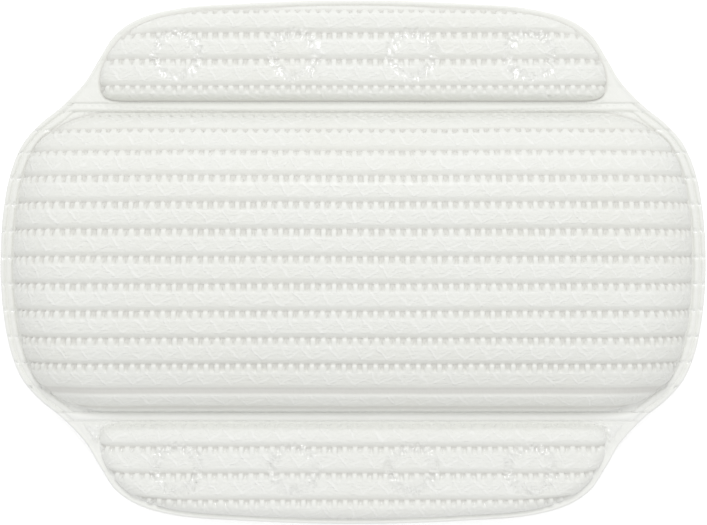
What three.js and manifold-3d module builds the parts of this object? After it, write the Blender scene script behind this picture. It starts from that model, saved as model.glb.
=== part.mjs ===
// A bath pillow: a crowned neck cushion between two thinner flaps, with a row of suction cups behind each flap.
// One ribbed vinyl sheet covers all three pads and is welded to a plain back film round each of them.
// The welds between the cushion and the flaps are soft webs, along which the flaps fold.
//
// Lengths are in millimetres. X runs across the pillow, Y from the lower flap to the upper flap, and Z from
// the rims of the suction cups, at z = 0, out to the ribbed face.
import * as THREE from "three";
import { mergeVertices } from "three/addons/utils/BufferGeometryUtils.js";
import Module from "manifold-3d";

const wasm = await Module();
wasm.setup();

// Overall sizes
const pillowWidth = 330;
const pillowLength = 245;

// Sheets
const backFilm = 0.6; // thickness of the plain film behind the pads
const weldedSheet = 1.2; // thickness of the ribbed sheet where it is welded flat
const grooveDepth = 1.7;
const grooveFloor = 1.5; // vinyl left under a groove
const coverWall = grooveFloor + grooveDepth;
const foamClearance = 0.3; // between the foam and the sheet over it
const overrun = 2; // how far a cutting solid runs past what it cuts

// Welded rim
const cushionRim = 6.5; // flat weld between the outline and the cushion
const flapRim = 2.4; // narrow weld round the outer side of a flap
const lipWidth = 2.2; // raised bead along the outline
const lipHeight = 0.5;

// Cushion in the middle. Its sides are quarter ellipses: an ease is how far in from an edge it is level.
const cushionLength = 140;
const cushionFoam = 25; // thickness of the foam under the crown
const cushionTopEase = 50;
const cushionFootEase = 62;
const cushionFootFullness = 2.5; // power of its curve: 2 is an ellipse, and more is fuller
const cushionSideEase = 28;
const cushionCornerDraw = 17; // how far its ends draw in at the corners
const cushionCornerRise = 12; // over this length of the end

// Flaps
const flapShoulder = 15.8; // flat weld between the outline and a flap's pad, beside the web
const flapFoam = 5.1;
const flapEase = 7;
const flapCornerDraw = 7;
const flapCornerRise = 8;

// Fold webs between the cushion and the flaps
const webWidth = 3.9;
const webBeadRoom = 0.35; // on each side of the bead
const webBeadHeight = 0.9;
const webPadGap = 0.3; // between a web and the pads beside it

// Ribs in the cover
const ribPitch = 12.35; // measured along the surface
const cushionGroove = 3; // from the middle of the pillow to the nearest groove
const upperFlapGroove = 94.6; // from the middle of the pillow to a groove of each flap
const lowerFlapGroove = -97;

// Suction cups
const cupRadius = 16;
const cupRimLand = 0.7; // flat ring that meets the bath
const cupRimHeight = 1.1;
const cupHollow = 4.6; // depth of the hollow under the skirt
const cupCrown = 2.4; // rubber between the hollow and the neck
const cupNeck = 2.6; // length of the neck
const cupNeckRadius = 4.4;
const cupFoot = 1.4; // thickness of the disc welded to the back film
const cupFootRadius = 12;
const cupHeight = cupHollow + cupCrown + cupNeck + cupFoot;
const cupsPerFlap = 4;
const cupEndRoom = 21.15; // from the end of a flap's pad to the skirt of its last cup
const cupRowShare = 0.4515; // where the row lies between a flap's web and its outer edge

// Heights of the stacked sheets
const filmTop = cupHeight + backFilm;
const rimTop = filmTop + weldedSheet;
const padEdge = filmTop + weldedSheet / 2; // a pad's side starts inside the welded sheet

// Where a web lies, from the middle of the pillow
const webStart = cushionLength / 2 + webPadGap;
const webEnd = webStart + webWidth;

// The outline's first quarter, as shares of half the width and half the length, from the top to the side
const outlineShares = [
  [0, 1],
  [0.16, 0.9965],
  [0.32, 0.987],
  [0.49, 0.97],
  [0.604, 0.931],
  [0.672, 0.872],
  [0.718, 0.78],
  [0.758, 0.69],
  [0.825, 0.595],
  [0.885, 0.53],
  [0.936, 0.452],
  [0.97, 0.345],
  [0.992, 0.19],
  [1, 0],
];

// Where the rows and columns of a smooth pad lie, as shares of the ease at each edge
const easeShares = [0, 0.05, 0.18, 0.4, 0.7, 1];
const easeLimitShare = 0.45; // an ease stops short of the middle of its pad

// A rib's section from one groove to the next, towards the upper flap: a share of the pitch, and a share of the
// groove's depth. A sloping side leads up to a flat top, and a steep side down to the floor of the next groove.
const ribShares = [
  [0, 1],
  [0.18, 0.03],
  [0.73, 0],
  [0.81, 0.95],
];

// Control points of a cup's hollow, as shares of its radius and depth, and of the skirt's outside
const hollowShares = [
  [0.45, 1],
  [0.85, 0.4],
];
const skirtShares = [0.75, 0.85];

// Counts of facets
const outlineSteps = 116;
const sectionSteps = 400;
const beadSteps = 8;
const cupSteps = 24;
const cupCurveSteps = 4;

// Finishes
const vinylFinish = { color: 0xe9eae4, roughness: 0.42, metalness: 0 };
const filmFinish = { color: 0xeeeeea, roughness: 0.3, metalness: 0 };
const foamFinish = { color: 0xf2efdf, roughness: 0.95, metalness: 0 };
const cupFinish = { color: 0xe4ebe8, roughness: 0.15, metalness: 0, transparent: true, opacity: 0.6 };

// The outline, as points in order round the pillow
function outlinePoints() {
  const quarter = outlineShares.map(([across, along]) => [(across * pillowWidth) / 2, (along * pillowLength) / 2]);
  const flipped = (x, y) => quarter.map((p) => new THREE.Vector3(p[0] * x, p[1] * y, 0));
  const loop = [
    ...flipped(1, 1).slice(0, -1),
    ...flipped(1, -1).reverse().slice(0, -1),
    ...flipped(-1, -1).slice(0, -1),
    ...flipped(-1, 1).reverse().slice(0, -1),
  ];
  return new THREE.CatmullRomCurve3(loop, true, "centripetal").getSpacedPoints(outlineSteps).slice(0, -1);
}

const outline = outlinePoints();
const flapHalfWidth = outlineHalfWidth(webEnd) - flapShoulder;

// Half the pillow's width at a distance from its middle
function outlineHalfWidth(fromMiddle) {
  const side = outline.filter((p) => p.x >= 0 && p.y >= 0).sort((a, b) => a.y - b.y);
  const y = Math.min(Math.abs(fromMiddle), side.at(-1).y);
  const above = Math.max(1, side.findIndex((p) => p.y >= y));
  const [low, high] = [side[above - 1], side[above]];
  return THREE.MathUtils.mapLinear(y, low.y, high.y, low.x, high.x);
}

// The outline drawn in by a distance, as a flat shape
function drawnIn(distance) {
  const points = outline.map((p, i) => {
    const before = outline.at(i - 1);
    const after = outline[(i + 1) % outline.length];
    const inward = new THREE.Vector2(after.y - before.y, before.x - after.x).normalize();
    return new THREE.Vector2(p.x + inward.x * distance, p.y + inward.y * distance);
  });
  return new THREE.Shape(points);
}

// Solids that can be joined and cut, from closed geometry, and geometry from them
function solid(geometry) {
  const bare = new THREE.BufferGeometry().setAttribute("position", geometry.getAttribute("position"));
  if (geometry.index) bare.setIndex(geometry.index);
  const merged = mergeVertices(bare);
  const vertProperties = merged.attributes.position.array;
  const triVerts = new Uint32Array(merged.index.array);
  return new wasm.Manifold(new wasm.Mesh({ numProp: 3, vertProperties, triVerts }));
}

function geometryOf(made) {
  const { vertProperties, triVerts } = made.getMesh();
  const shared = new THREE.BufferGeometry()
    .setAttribute("position", new THREE.BufferAttribute(vertProperties, 3))
    .setIndex(new THREE.BufferAttribute(triVerts, 1));
  const faceted = shared.toNonIndexed();
  faceted.computeVertexNormals();
  return faceted;
}

function prism(shape, low, high) {
  const geometry = new THREE.ExtrudeGeometry(shape, { depth: high - low, bevelEnabled: false });
  return solid(geometry.translate(0, 0, low));
}

// Everything between two places along Y and two heights
function band(from, to, low, high) {
  const box = new THREE.BoxGeometry(pillowWidth + overrun, to - from, high - low);
  return solid(box.translate(0, (from + to) / 2, (low + high) / 2));
}

// A quarter ellipse, or a fuller curve: 0 at an edge, 1 where the ease ends
function ease(distance, length, fullness = 2) {
  const left = Math.max(0, 1 - Math.max(0, distance) / length);
  return (1 - left ** fullness) ** (1 / fullness);
}

// The plan and crown of the cushion and of a flap's pad, drawn in on every side by an inset
function cushionPad(inset) {
  const to = cushionLength / 2 - inset;
  const from = -to;
  const corner = (y) => 1 - ease(Math.min(y - from, to - y), cushionCornerRise);
  return {
    from,
    to,
    fromEase: Math.min(cushionFootEase, easeLimitShare * cushionLength),
    toEase: Math.min(cushionTopEase, easeLimitShare * cushionLength),
    fromFullness: cushionFootFullness,
    sideEase: cushionSideEase,
    rise: filmTop + cushionFoam + foamClearance + coverWall - inset - padEdge,
    halfWidth: (y) => outlineHalfWidth(y) - cushionRim - cushionCornerDraw * corner(y) - inset,
  };
}

function flapPad(side, inset) {
  const near = webEnd + webPadGap + inset;
  const far = pillowLength / 2 - flapRim - inset;
  const padEase = Math.min(flapEase, easeLimitShare * (far - near));
  return {
    from: side > 0 ? near : -far,
    to: side > 0 ? far : -near,
    fromEase: padEase,
    toEase: padEase,
    sideEase: flapEase,
    rise: filmTop + flapFoam + foamClearance + coverWall - inset - padEdge,
    halfWidth(y) {
      const corner = 1 - ease(Math.abs(y) - near, flapCornerRise);
      const withinRim = outlineHalfWidth(Math.abs(y) + flapRim + inset) - flapRim;
      return Math.min(flapHalfWidth, withinRim) - flapCornerDraw * corner - inset;
    },
  };
}

function crown(pad, x, y) {
  const ends = ease(y - pad.from, pad.fromEase, pad.fromFullness) * ease(pad.to - y, pad.toEase);
  return ends * ease(pad.halfWidth(y) - Math.abs(x), pad.sideEase);
}

const endRoom = 0.15; // a pad's first and last rows stay this far inside its plan, where it has some width
const rowRoom = 0.8; // the next rows stay this far from the first and last

// Rows of a smooth pad, close together where it is steep
function smoothRows(pad) {
  const from = easeShares.map((share) => pad.from + Math.max(endRoom, share * pad.fromEase));
  const to = easeShares.map((share) => pad.to - Math.max(endRoom, share * pad.toEase));
  return [...from, ...to.reverse()].map((y) => ({ y, depth: 0 }));
}

// The line up and over a pad's middle, from one place along Y to another
function section(pad, from, to) {
  const points = Array.from({ length: sectionSteps + 1 }, (_, i) => {
    const y = THREE.MathUtils.lerp(from, to, i / sectionSteps);
    return new THREE.Vector2(y, pad.rise * crown(pad, 0, y));
  });
  return new THREE.Path(points);
}

// Rows that follow the ribs, which are evenly spaced along the surface. A row's depth is a share of the groove's.
function ribbedRows(pad, groove) {
  const whole = section(pad, pad.from, pad.to);
  const length = whole.getLength();
  const toGroove = section(pad, pad.from, groove).getLength();
  const rows = [];
  for (let rib = -Math.ceil(toGroove / ribPitch); toGroove + rib * ribPitch < length; rib++)
    for (const [share, depth] of ribShares) {
      const along = toGroove + (rib + share) * ribPitch;
      const y = whole.getPoint(THREE.MathUtils.clamp(along / length, 0, 1)).x;
      if (y > pad.from + rowRoom && y < pad.to - rowRoom) rows.push({ y, depth });
    }
  return [{ y: pad.from + endRoom, depth: 0 }, ...rows, { y: pad.to - endRoom, depth: 0 }];
}

// A row's places across the pad, from its left end to its right end
function columns(pad, y) {
  const half = pad.halfWidth(y);
  const reach = Math.min(pad.sideEase, half * easeLimitShare);
  const right = easeShares.map((share) => half - share * reach);
  return [...right.map((x) => -x), 0, ...right.reverse()];
}

// A closed solid from a foot plane up to a pad's crowned surface
function mound(pad, rows, foot) {
  const width = 2 * easeShares.length + 1;
  const position = [];
  const index = [];
  for (const { y, depth } of rows)
    for (const x of columns(pad, y)) {
      const share = crown(pad, x, y);
      position.push(x, y, padEdge + (pad.rise - depth * grooveDepth) * share);
    }
  for (let row = 0; row + 1 < rows.length; row++)
    for (let column = 0; column + 1 < width; column++) {
      const a = row * width + column;
      const c = a + width + 1;
      index.push(a, a + 1, c, a, c, c - 1);
    }
  const last = (rows.length - 1) * width;
  const border = [
    ...Array.from({ length: width - 1 }, (_, n) => n),
    ...Array.from({ length: rows.length - 1 }, (_, n) => (n + 1) * width - 1),
    ...Array.from({ length: width - 1 }, (_, n) => last + width - 1 - n),
    ...Array.from({ length: rows.length - 1 }, (_, n) => last - n * width),
  ];
  const firstFoot = position.length / 3;
  border.forEach((v, n) => {
    const next = (n + 1) % border.length;
    position.push(position[3 * v], position[3 * v + 1], foot);
    index.push(v, firstFoot + n, firstFoot + next, v, firstFoot + next, border[next]);
  });
  const contour = border.map((v) => new THREE.Vector2(position[3 * v], position[3 * v + 1]));
  for (const [a, b, c] of THREE.ShapeUtils.triangulateShape(contour, []))
    index.push(firstFoot + a, firstFoot + c, firstFoot + b);
  const geometry = new THREE.BufferGeometry()
    .setAttribute("position", new THREE.Float32BufferAttribute(position, 3))
    .setIndex(index);
  return solid(geometry);
}

// The ribbed sheet, welded flat round the outline, where it has a raised lip
const plainOutline = drawnIn(0);
const lipFoot = rimTop - weldedSheet / 2;
const lip = prism(plainOutline, lipFoot, rimTop + lipHeight).subtract(
  prism(drawnIn(lipWidth), lipFoot - overrun, rimTop + lipHeight + overrun),
);
const rimSheet = prism(plainOutline, filmTop, rimTop).add(lip);

// The part of the sheet over one pad, hollow from below, where the foam lies
function frontCover(padAt, groove, from, to) {
  const rim = rimSheet.intersect(band(from, to, filmTop - overrun, rimTop + lipHeight + overrun));
  const outside = mound(padAt(0), ribbedRows(padAt(0), groove), filmTop);
  const inside = mound(padAt(coverWall), smoothRows(padAt(coverWall)), filmTop - overrun);
  return rim.add(outside).subtract(inside);
}

function foamCore(padAt) {
  const pad = padAt(coverWall + foamClearance);
  return mound(pad, smoothRows(pad), filmTop);
}

function backFilmPart(from, to) {
  return prism(plainOutline, cupHeight, filmTop).intersect(band(from, to, cupHeight - overrun, rimTop));
}

// The strip where sheet and film are fused, with a rounded bead down its front
function foldWeb(side) {
  const middle = (side * (webStart + webEnd)) / 2;
  const strip = band(middle - webWidth / 2, middle + webWidth / 2, cupHeight - overrun, rimTop + overrun);
  const arch = new THREE.Shape().absellipse(0, 0, webWidth / 2 - webBeadRoom, webBeadHeight, 0, Math.PI, false);
  const settings = { depth: pillowWidth, bevelEnabled: false, curveSegments: beadSteps };
  const bead = new THREE.ExtrudeGeometry(arch, settings);
  bead.translate(0, 0, -pillowWidth / 2);
  bead.rotateX(Math.PI / 2);
  bead.rotateZ(Math.PI / 2);
  bead.translate(0, middle, rimTop);
  const trimmed = solid(bead).intersect(prism(plainOutline, filmTop, rimTop + webBeadHeight + overrun));
  return prism(plainOutline, cupHeight, rimTop).intersect(strip).add(trimmed);
}

// A suction cup in one piece: a thin skirt, a neck, and the disc that is welded to the back film
function suctionCup() {
  const neckStart = cupHollow + cupCrown;
  const footUnder = cupHeight - cupFoot;
  const rimInner = cupRadius - cupRimLand;
  const profile = new THREE.Path();
  profile.moveTo(0, cupHollow);
  const [inner, outer] = hollowShares.map(([across, up]) => [across * rimInner, up * cupHollow]);
  profile.bezierCurveTo(...inner, ...outer, rimInner, 0);
  profile.lineTo(cupRadius, 0);
  profile.lineTo(cupRadius, cupRimHeight);
  profile.quadraticCurveTo(skirtShares[0] * cupRadius, skirtShares[1] * neckStart, cupNeckRadius, neckStart);
  profile.lineTo(cupNeckRadius, footUnder);
  profile.lineTo(cupFootRadius, footUnder);
  profile.lineTo(cupFootRadius, cupHeight);
  profile.lineTo(0, cupHeight);
  return new THREE.LatheGeometry(profile.getPoints(cupCurveSteps), cupSteps);
}

const pillow = new THREE.Group();

function place(name, geometry, finish) {
  const mesh = new THREE.Mesh(geometry, new THREE.MeshStandardMaterial(finish));
  mesh.name = name;
  pillow.add(mesh);
  return mesh;
}

function placePad(name, padAt, groove, from, to) {
  place(`${name}_front_cover`, geometryOf(frontCover(padAt, groove, from, to)), vinylFinish);
  place(`${name}_foam_core`, geometryOf(foamCore(padAt)), foamFinish);
  place(`${name}_back_film`, geometryOf(backFilmPart(from, to)), filmFinish);
}

// The cups are spread evenly along a flap
function placeCups(name, side) {
  const last = flapHalfWidth - cupEndRoom - cupRadius;
  const row = THREE.MathUtils.lerp(webEnd, pillowLength / 2, cupRowShare);
  for (let n = 0; n < cupsPerFlap; n++) {
    const cup = place(`${name}_suction_cup_${n + 1}`, suctionCup(), cupFinish);
    cup.rotation.x = Math.PI / 2;
    cup.position.set(THREE.MathUtils.lerp(-last, last, n / (cupsPerFlap - 1)), side * row, 0);
  }
}

const pastEnd = pillowLength / 2 + overrun;
placePad("middle", cushionPad, cushionGroove, -webStart, webStart);
placePad("upper", (inset) => flapPad(1, inset), upperFlapGroove, webEnd, pastEnd);
placePad("lower", (inset) => flapPad(-1, inset), lowerFlapGroove, -pastEnd, -webEnd);
place("upper_fold_web", geometryOf(foldWeb(1)), vinylFinish);
place("lower_fold_web", geometryOf(foldWeb(-1)), vinylFinish);
placeCups("upper", 1);
placeCups("lower", -1);

export default pillow;
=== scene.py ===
"""A bath pillow: a ribbed neck cushion between two folding flaps, with suction cups behind the flaps.

Lengths are in millimetres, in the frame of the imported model, and turned to metres as meshes are made.
X runs across the pillow, Y from the lower flap to the upper flap, and Z out of the ribbed face.
"""

import math

import bpy
import numpy as np
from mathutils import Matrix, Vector
from mathutils.geometry import delaunay_2d_cdt
from mathutils.kdtree import KDTree


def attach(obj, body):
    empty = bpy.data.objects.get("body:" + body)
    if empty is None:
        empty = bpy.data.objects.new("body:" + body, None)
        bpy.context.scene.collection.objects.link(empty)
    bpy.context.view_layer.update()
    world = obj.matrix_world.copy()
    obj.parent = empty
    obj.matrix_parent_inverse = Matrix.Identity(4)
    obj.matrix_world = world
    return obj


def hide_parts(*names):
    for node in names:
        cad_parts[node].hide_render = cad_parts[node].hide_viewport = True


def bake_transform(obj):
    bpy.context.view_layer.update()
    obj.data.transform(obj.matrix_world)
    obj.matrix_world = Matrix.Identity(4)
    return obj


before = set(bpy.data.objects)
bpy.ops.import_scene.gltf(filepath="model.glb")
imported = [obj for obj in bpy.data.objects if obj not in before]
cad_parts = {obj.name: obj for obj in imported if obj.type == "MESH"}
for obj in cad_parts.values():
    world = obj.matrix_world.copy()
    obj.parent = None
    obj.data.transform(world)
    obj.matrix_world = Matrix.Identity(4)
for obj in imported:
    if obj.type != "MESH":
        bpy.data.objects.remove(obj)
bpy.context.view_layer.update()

METRES = 0.001

# Overall sizes and heights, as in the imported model
PILLOW_WIDTH = 330
PILLOW_LENGTH = 245
FILM_UNDER = 11.0
FILM_TOP = 11.6
RIM_TOP = 12.8
COVER_WALL = 3.2
FOAM_GAP = COVER_WALL + 0.3

# The outline's first quarter, as shares of half the width and half the length, from the top to the side
OUTLINE_SHARES = np.array(
    [
        (0, 1), (0.16, 0.9965), (0.32, 0.987), (0.49, 0.97), (0.604, 0.931), (0.672, 0.872), (0.718, 0.78),
        (0.758, 0.69), (0.825, 0.595), (0.885, 0.53), (0.936, 0.452), (0.97, 0.345), (0.992, 0.19), (1, 0),
    ]
)
OUTLINE_STEPS = 60

# The cushion in the middle
CUSHION_LENGTH = 140
CUSHION_TOP = 40.1
CUSHION_RIM = 6.5
CUSHION_TOP_EASE = 50
CUSHION_FOOT_EASE = 62
CUSHION_FOOT_FULLNESS = 2.5
CUSHION_SIDE_EASE = 28
CUSHION_CORNER_DRAW = 17
CUSHION_CORNER_RISE = 17
CUSHION_FILLET = 0.7
CUSHION_CORNER_ARC = 24  # about how long the line round a corner is

# The flaps
FLAP_TOP = 20.2
FLAP_RIM = 2.4
FLAP_HALF_WIDTH = 118.98
FLAP_EASE = 7
FLAP_FILLET = 0.4
FLAP_CORNER_BLUR = 6  # how far its corners are smoothed
WEB_START = 70.3
WEB_END = 74.2
UPPER_PAD_GAP = 1.0
LOWER_PAD_GAP = 0.3
WEB_BEAD_WIDTH = 3.5
WEB_BEAD_HEIGHT = 0.9
WEB_BEAD_SHIFT = 0.35  # how far both beads lie towards the lower flap

# Ribs and their fingers, measured along the surface
RIB_PITCH = 12.35
GROOVE_DEPTH = 1.7
CUSHION_GROOVE = 2.4
UPPER_FLAP_GROOVE = 93.9
LOWER_FLAP_GROOVE = -97.7
FINGER_PITCH = 4.8
FINGER_PHASE = 0.83  # how far the fingers lie from the middle of the pillow
ROW_SHIFT = 0.2  # how far the rows lie to the left and to the right in turn
FINGER_STRAY = 0.12  # how far a finger lies out of line at most
FINGER_HALF_WIDTH = 1.2
FINGER_WIDENING = 0.075  # for each millimetre from its groove's line
FINGER_SIDE = 0.17  # half the width of a finger's steep side
FINGER_START = -0.5  # from a groove's line to the rounded end of its fingers
FINGER_DOME = 0.13  # how much lower a finger is at its sides than along its middle
FINGER_HOLLOW = 0.07  # the depth of the faint hollow in a finger, as a share of the groove's
PIT_END = 2.4  # where the pits between the fingers end, from the groove's line
PIT_BLEND = 4.8  # where a rib with shorter pits has its usual section again
LINE_LEVEL = 0.22  # the height on the groove's line

# A rib's section below a groove: distance from the groove's line, and height as a share of the groove's depth
RIB_SECTION = np.array(
    [
        (0, 0.2), (0.1, 0), (2.4, 0.02), (2.7, 0.18), (2.95, 0.42), (3.45, 0.88), (3.95, 1), (4.8, 1.02),
        (6.5, 1), (9.5, 1), (10, 0.94), (10.5, 0.76), (11, 0.53), (11.5, 0.33), (11.9, 0.24), (12.35, 0.2),
    ]
)

# A finger's height along its middle, in the same measures
FINGER_CREST = np.array([(-0.4, 0.26), (0, 0.5), (0.4, 0.8), (0.9, 0.92), (1.8, 0.99), (2.6, 1)])

# Rows of vertices below each groove. Those of the fingers have more vertices, placed about each finger.
FINGER_ROWS = (-0.12, 0.12, 0.5, 1.05, 1.7, 2.4, 2.95, 3.45)
FINGER_COLUMNS = (-1.34, -1, -0.58, 0, 0.58, 1, 1.34, 2.4)
TOP_ROWS = (4.05, 5.2, 7.1, 9.3, 10, 10.5, 11, 11.5, 11.9)
RIB_LEAD = 0.14  # a rib's part of the pattern starts this far before its first row
CUSHION_COLUMNS = 4  # vertices to a finger's pitch along the tops of the ribs
FLAP_COLUMNS = 7
FOOT_SPACING = FINGER_PITCH / 8
TRIANGLE_HEIGHT = 0.866  # of an even triangle, as a share of its side

# Rings of vertices inwards from a pad's foot
CUSHION_RINGS = (0, 0.1, 0.24, 0.42, 0.66, 1, 1.45, 2, 2.7)
FLAP_RINGS = (0, 0.08, 0.18, 0.32, 0.5, 0.74, 1.05, 1.45, 2)
HOLLOW_RINGS = (0, 0.1, 0.3, 0.6, 1.1, 1.8, 2.8)
FOAM_RINGS = (0, 0.12, 0.3, 0.6, 1.0, 1.5, 2.2)

# Bands along Y where the pattern differs: where each starts, is full, is full to, and ends
TOP_SLOPE = (44, 49, 71, 73)
LAST_GROOVES = (-73, -71, -56, -52)
FIRST_ROW = (-79, -78, -74, -73)  # the first row of pits of the lower flap
WET_ROW = (48, 50, 54, 57)  # the cushion's row of shining pits
FLAP_PITS = (73, 75)  # from here on, on both flaps
LOWER_PATTERN = (-80, -83)  # from here down, the pattern is shifted

TOP_SLOPE_SHORTER = 0.42  # how much shorter the pits are there
FLAP_SHORTER = 0.28
PULLED_FLAT = 0.88  # how much of the fingers' strength the last grooves lose
FLAT_GROOVE = 0.4  # the share of a groove's depth that they keep
FIRST_ROW_FLATTER = 0.75  # how much of its depth that row loses
LOWER_PATTERN_SHIFT = 0.4

# Bands from a groove's line down its rib
CREASED = (2.8, 3.8, 9.8, 11.4)  # the top of the rib, where the vinyl creases
ROW_OF_DOTS = (-0.3, 0.1, 2.2, 3)  # the pits of the first row, which shine as dots

# The line pressed in where a pad meets its rim
FOOT_LINE_DEPTH = 0.38
FOOT_LINE_WIDTH = 0.4
FOOT_LINE_MARK = 0.45  # how wide its shade is

# How the welded rim rises and falls inwards from the outline. The cushion's has a second, inner band.
CUSHION_EDGE = np.array(
    [
        (0, -0.42), (0.12, -0.05), (0.33, 0.3), (0.7, 0.56), (1.15, 0.64), (1.6, 0.6),
        (2, 0.3), (2.3, -0.35), (2.5, -0.5), (2.7, -0.35), (3, 0.02), (3.3, 0.2),
    ]
)
INNER_BAND = np.array(
    [(3.3, 0), (3.7, 0.32), (4.3, 0.46), (5, 0.44), (5.4, 0.16), (5.75, -0.45), (6.1, -0.3), (6.5, 0)]
)
FLAP_EDGE = np.array(
    [(0, -0.42), (0.1, -0.05), (0.25, 0.2), (0.5, 0.38), (0.85, 0.46), (1.2, 0.4), (1.55, 0.2), (2, 0.06)]
)
CUSHION_LIP_RINGS = (0.1, 0.28, 0.6, 1.1, 1.6, 2, 2.3, 2.5, 2.7, 3, 3.7, 4.3, 5, 5.4, 5.75, 6.1)
FLAP_LIP_RINGS = (0.1, 0.25, 0.5, 0.85, 1.25, 1.65, 2.05)
EDGE_FADE = (4.5, 3)  # where the cushion's lip gives way to its inner band

# Two beads round a flap's pad: distance from its foot, width and height of each
FLAP_BEADS = ((1.5, 0.5, 0.42), (3.6, 0.8, 0.252))
WEB_LINE_DEPTH = 0.06  # of the line where a cover meets a fold web

# Where the grooves nip the cushion's rim: two bands inwards from the outline, and the nips' size
NIPPED_LIP = (0.3, 0.8, 1.8, 2.3)
NIPPED_BAND = (3.5, 4.1, 5.1, 5.6)
NIP_PLACE = 0.3
NIP_WIDTH = 0.75
NIP_STRENGTH = 1.3
NIP_DEPTH = 0.7

# The pattern's trace on the welded rim: its depth at a groove's line at least, and up to this much more
TRACE_LEAST = 0.1
TRACE_MORE = 0.16
TRACE_WIDTH = 0.55
TRACE_OF_PITS = 0.05

# The small crinkled triangle that the welds leave at both corners of the lower flap: its middle across, its
# near side and its tip down from the pillow's middle, and the direction that its other two sides face
PANEL_MIDDLE = 120
PANEL_NEAR = 76
PANEL_FAR = 84.4
PANEL_SLANT = (0.82, 0.57)
PANEL_HEIGHT = 0.3
PANEL_LINE_DEPTH = 0.45

# The dents over the cups' feet: a ring with a wavy outline round a plainer disc, and their depths
DENT_RING = (7, 8.6, 12.1, 12.9)
DENT_WAVES = 26
DENT_WAVE_HEIGHT = 0.34
DENT_DRIFT = 0.55
DENT_DEPTH = 0.3
DENT_LUMPS = 0.4
DENT_PLEATS = 28
PLEAT_DEPTH = 0.24
DISC_LUMPS = 0.08
RING_FLATTER = 0.35  # how much of the ribs' depth the ring loses
DISC_FLATTER = 0.1

# How the pattern shows in the vinyl's finish: places from a groove's line, and shares of full painted shade
# and gloss
GLINT_PLACE = 2.2
GLINT_WIDTH = 0.6
GLINT_LIGHTER = 0.8
RIB_EDGE_PLACE = 3.8
RIB_EDGE_WIDTH = 0.6
SHADED_DEPTH = (0.4, 0.85)  # where the shade in the pits starts and is full, as shares of a groove's depth
FOOT_LINE_SHADE = 0.85
RIB_GLOSS = 0.07
RING_GLOSS = 0.6
PANEL_GLOSS = 0.8
RIM_CREASES = 0.2

# Painted light: how much paler the vinyl is painted near its welds, where shade falls, and how much paler
# still towards the pillow's lower end and over the lower flap
PALE = 0.35
PALE_SLOPE = 0.5
PALE_RIM = 0.3
PALE_FLAP = 0.28

# How pale its painted highlights are: on the ribs' edges, the fingers' tips, the crumpled crests, the nips
# and the corner panel
PALE_RIB_EDGE = 0.3
PALE_TIP = 0.45
PALE_CREST = 0.5
PALE_NIP = 1.5
PALE_PANEL = 0.9

# Spacings of the rim's vertices, and the room that is left round them
RIM_SPACING = 0.8
RIM_FILL = 1.3
PANEL_FILL = 0.45
RIM_FOOT_RINGS = (0.5, 1.05)
RIM_APART = 0.16
RIM_ROOM = 0.3

# Layers of noise: height, size across, size along and seed of each
WANDER = ((0.16, 34, 50, 11), (0.05, 6, 12, 12))
WRINKLES = ((1, 2.6, 1.9, 18), (0.6, 1.5, 3.4, 19))
LUMPS = ((1, 1.5, 1.5, 41), (0.6, 0.9, 2.6, 42))
PANEL_CRINKLE = ((0.3, 1.2, 1.3, 71), (0.15, 2.4, 0.9, 72))
FILM_CRUMPLE = ((0.5, 13, 9, 51), (0.3, 5, 6, 52))
WRINKLE_DEPTH = 0.05

# The row of the sheet's pits that runs over the upper web at a slant, towards both ends
WEB_DOTS_REACH = (58, 68, 133, 137)
WEB_DOTS_END = 132
WEB_DOTS_LENGTH = 66.5
WEB_DOTS_OUTER = 2.9  # how far up the web's width it lies at that end
WEB_DOTS_RISE = 2.7
WEB_DOTS_PITCH = 3.3
WEB_DOTS_DEPTH = 0.5
WEB_DOTS_WIDTH = 0.42
WEB_PRESS = 0.14  # how far a web is pressed in from behind
WEB_CREASES = 0.12

# The film: lines of vertices in from the outline and from a pad's foot
FILM_SPACING = 1.6
FILM_FILL = 3.2
FILM_EDGE_LINES = (0.35, 1.0, 1.8, 2.3, 2.6, 2.9, 3.5)
FILM_WELD_LINES = (-0.9, -0.3, 0.1, 0.5, 1.1, 2.0, 3.2)
FILM_APART = 0.22
FILM_SLACK = 0.45
FILM_LINE_DEPTH = 0.2  # of the lines pressed in along the rim and round the pad
FILM_EDGE_LIFT = 0.3  # how far its outer edge is rounded up

# Suction cups
CUP_RADIUS = 16
CUP_RIM_LAND = 0.7  # the flat ring that a cup stands on
CUP_RIM_HEIGHT = 1.1
CUP_HOLLOW = 4.6
CUP_CROWN = 2.4  # from the top of its hollow to the start of its neck
CUP_NECK_RADIUS = 4.4
CUP_FOOT = 1.4
CUP_FOOT_RADIUS = 12
CUP_PLACES = (-81.83, -27.28, 27.28, 81.83)
CUP_ROW = 96.007

# Colours, and the creases in the vinyl
WHITE = (1, 1, 1, 1)
VINYL_COOL = (0.862, 0.872, 0.838, 1)
VINYL_WARM = (0.852, 0.856, 0.808, 1)
# The vinyl's pale colour is painted light: it lifts the shade and paints highlights. Its pit colour is
# painted shade, in the pits and along the pads' feet.
VINYL_PAINTED_LIGHT = (0.975, 0.98, 0.955, 1)
VINYL_PAINTED_SHADE = (0.765, 0.76, 0.725, 1)
FILM_PALE = (0.85, 0.85, 0.81, 1)
FILM_WARM = (0.83, 0.83, 0.785, 1)
FOAM_PALE = (0.9, 0.88, 0.77, 1)
FOAM_WARM = (0.86, 0.84, 0.7, 1)
FOAM_CELLS = (0.8, 0.77, 0.64, 1)
CUP_COLOUR = (0.78, 0.83, 0.81, 1)
FLOOR_COLOUR = (0.93, 0.93, 0.93, 1)
CREASE_PITCH = 11.3
CREASE_SHIFT = 3.9  # from one rib to the next
CREASE_DRIFT = 7.0  # how far they stray from even spacing
CREASE_TEAR = 1.6  # how ragged they are
FALL_START = 3.2  # where a falling crease starts, from the groove's line
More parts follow.
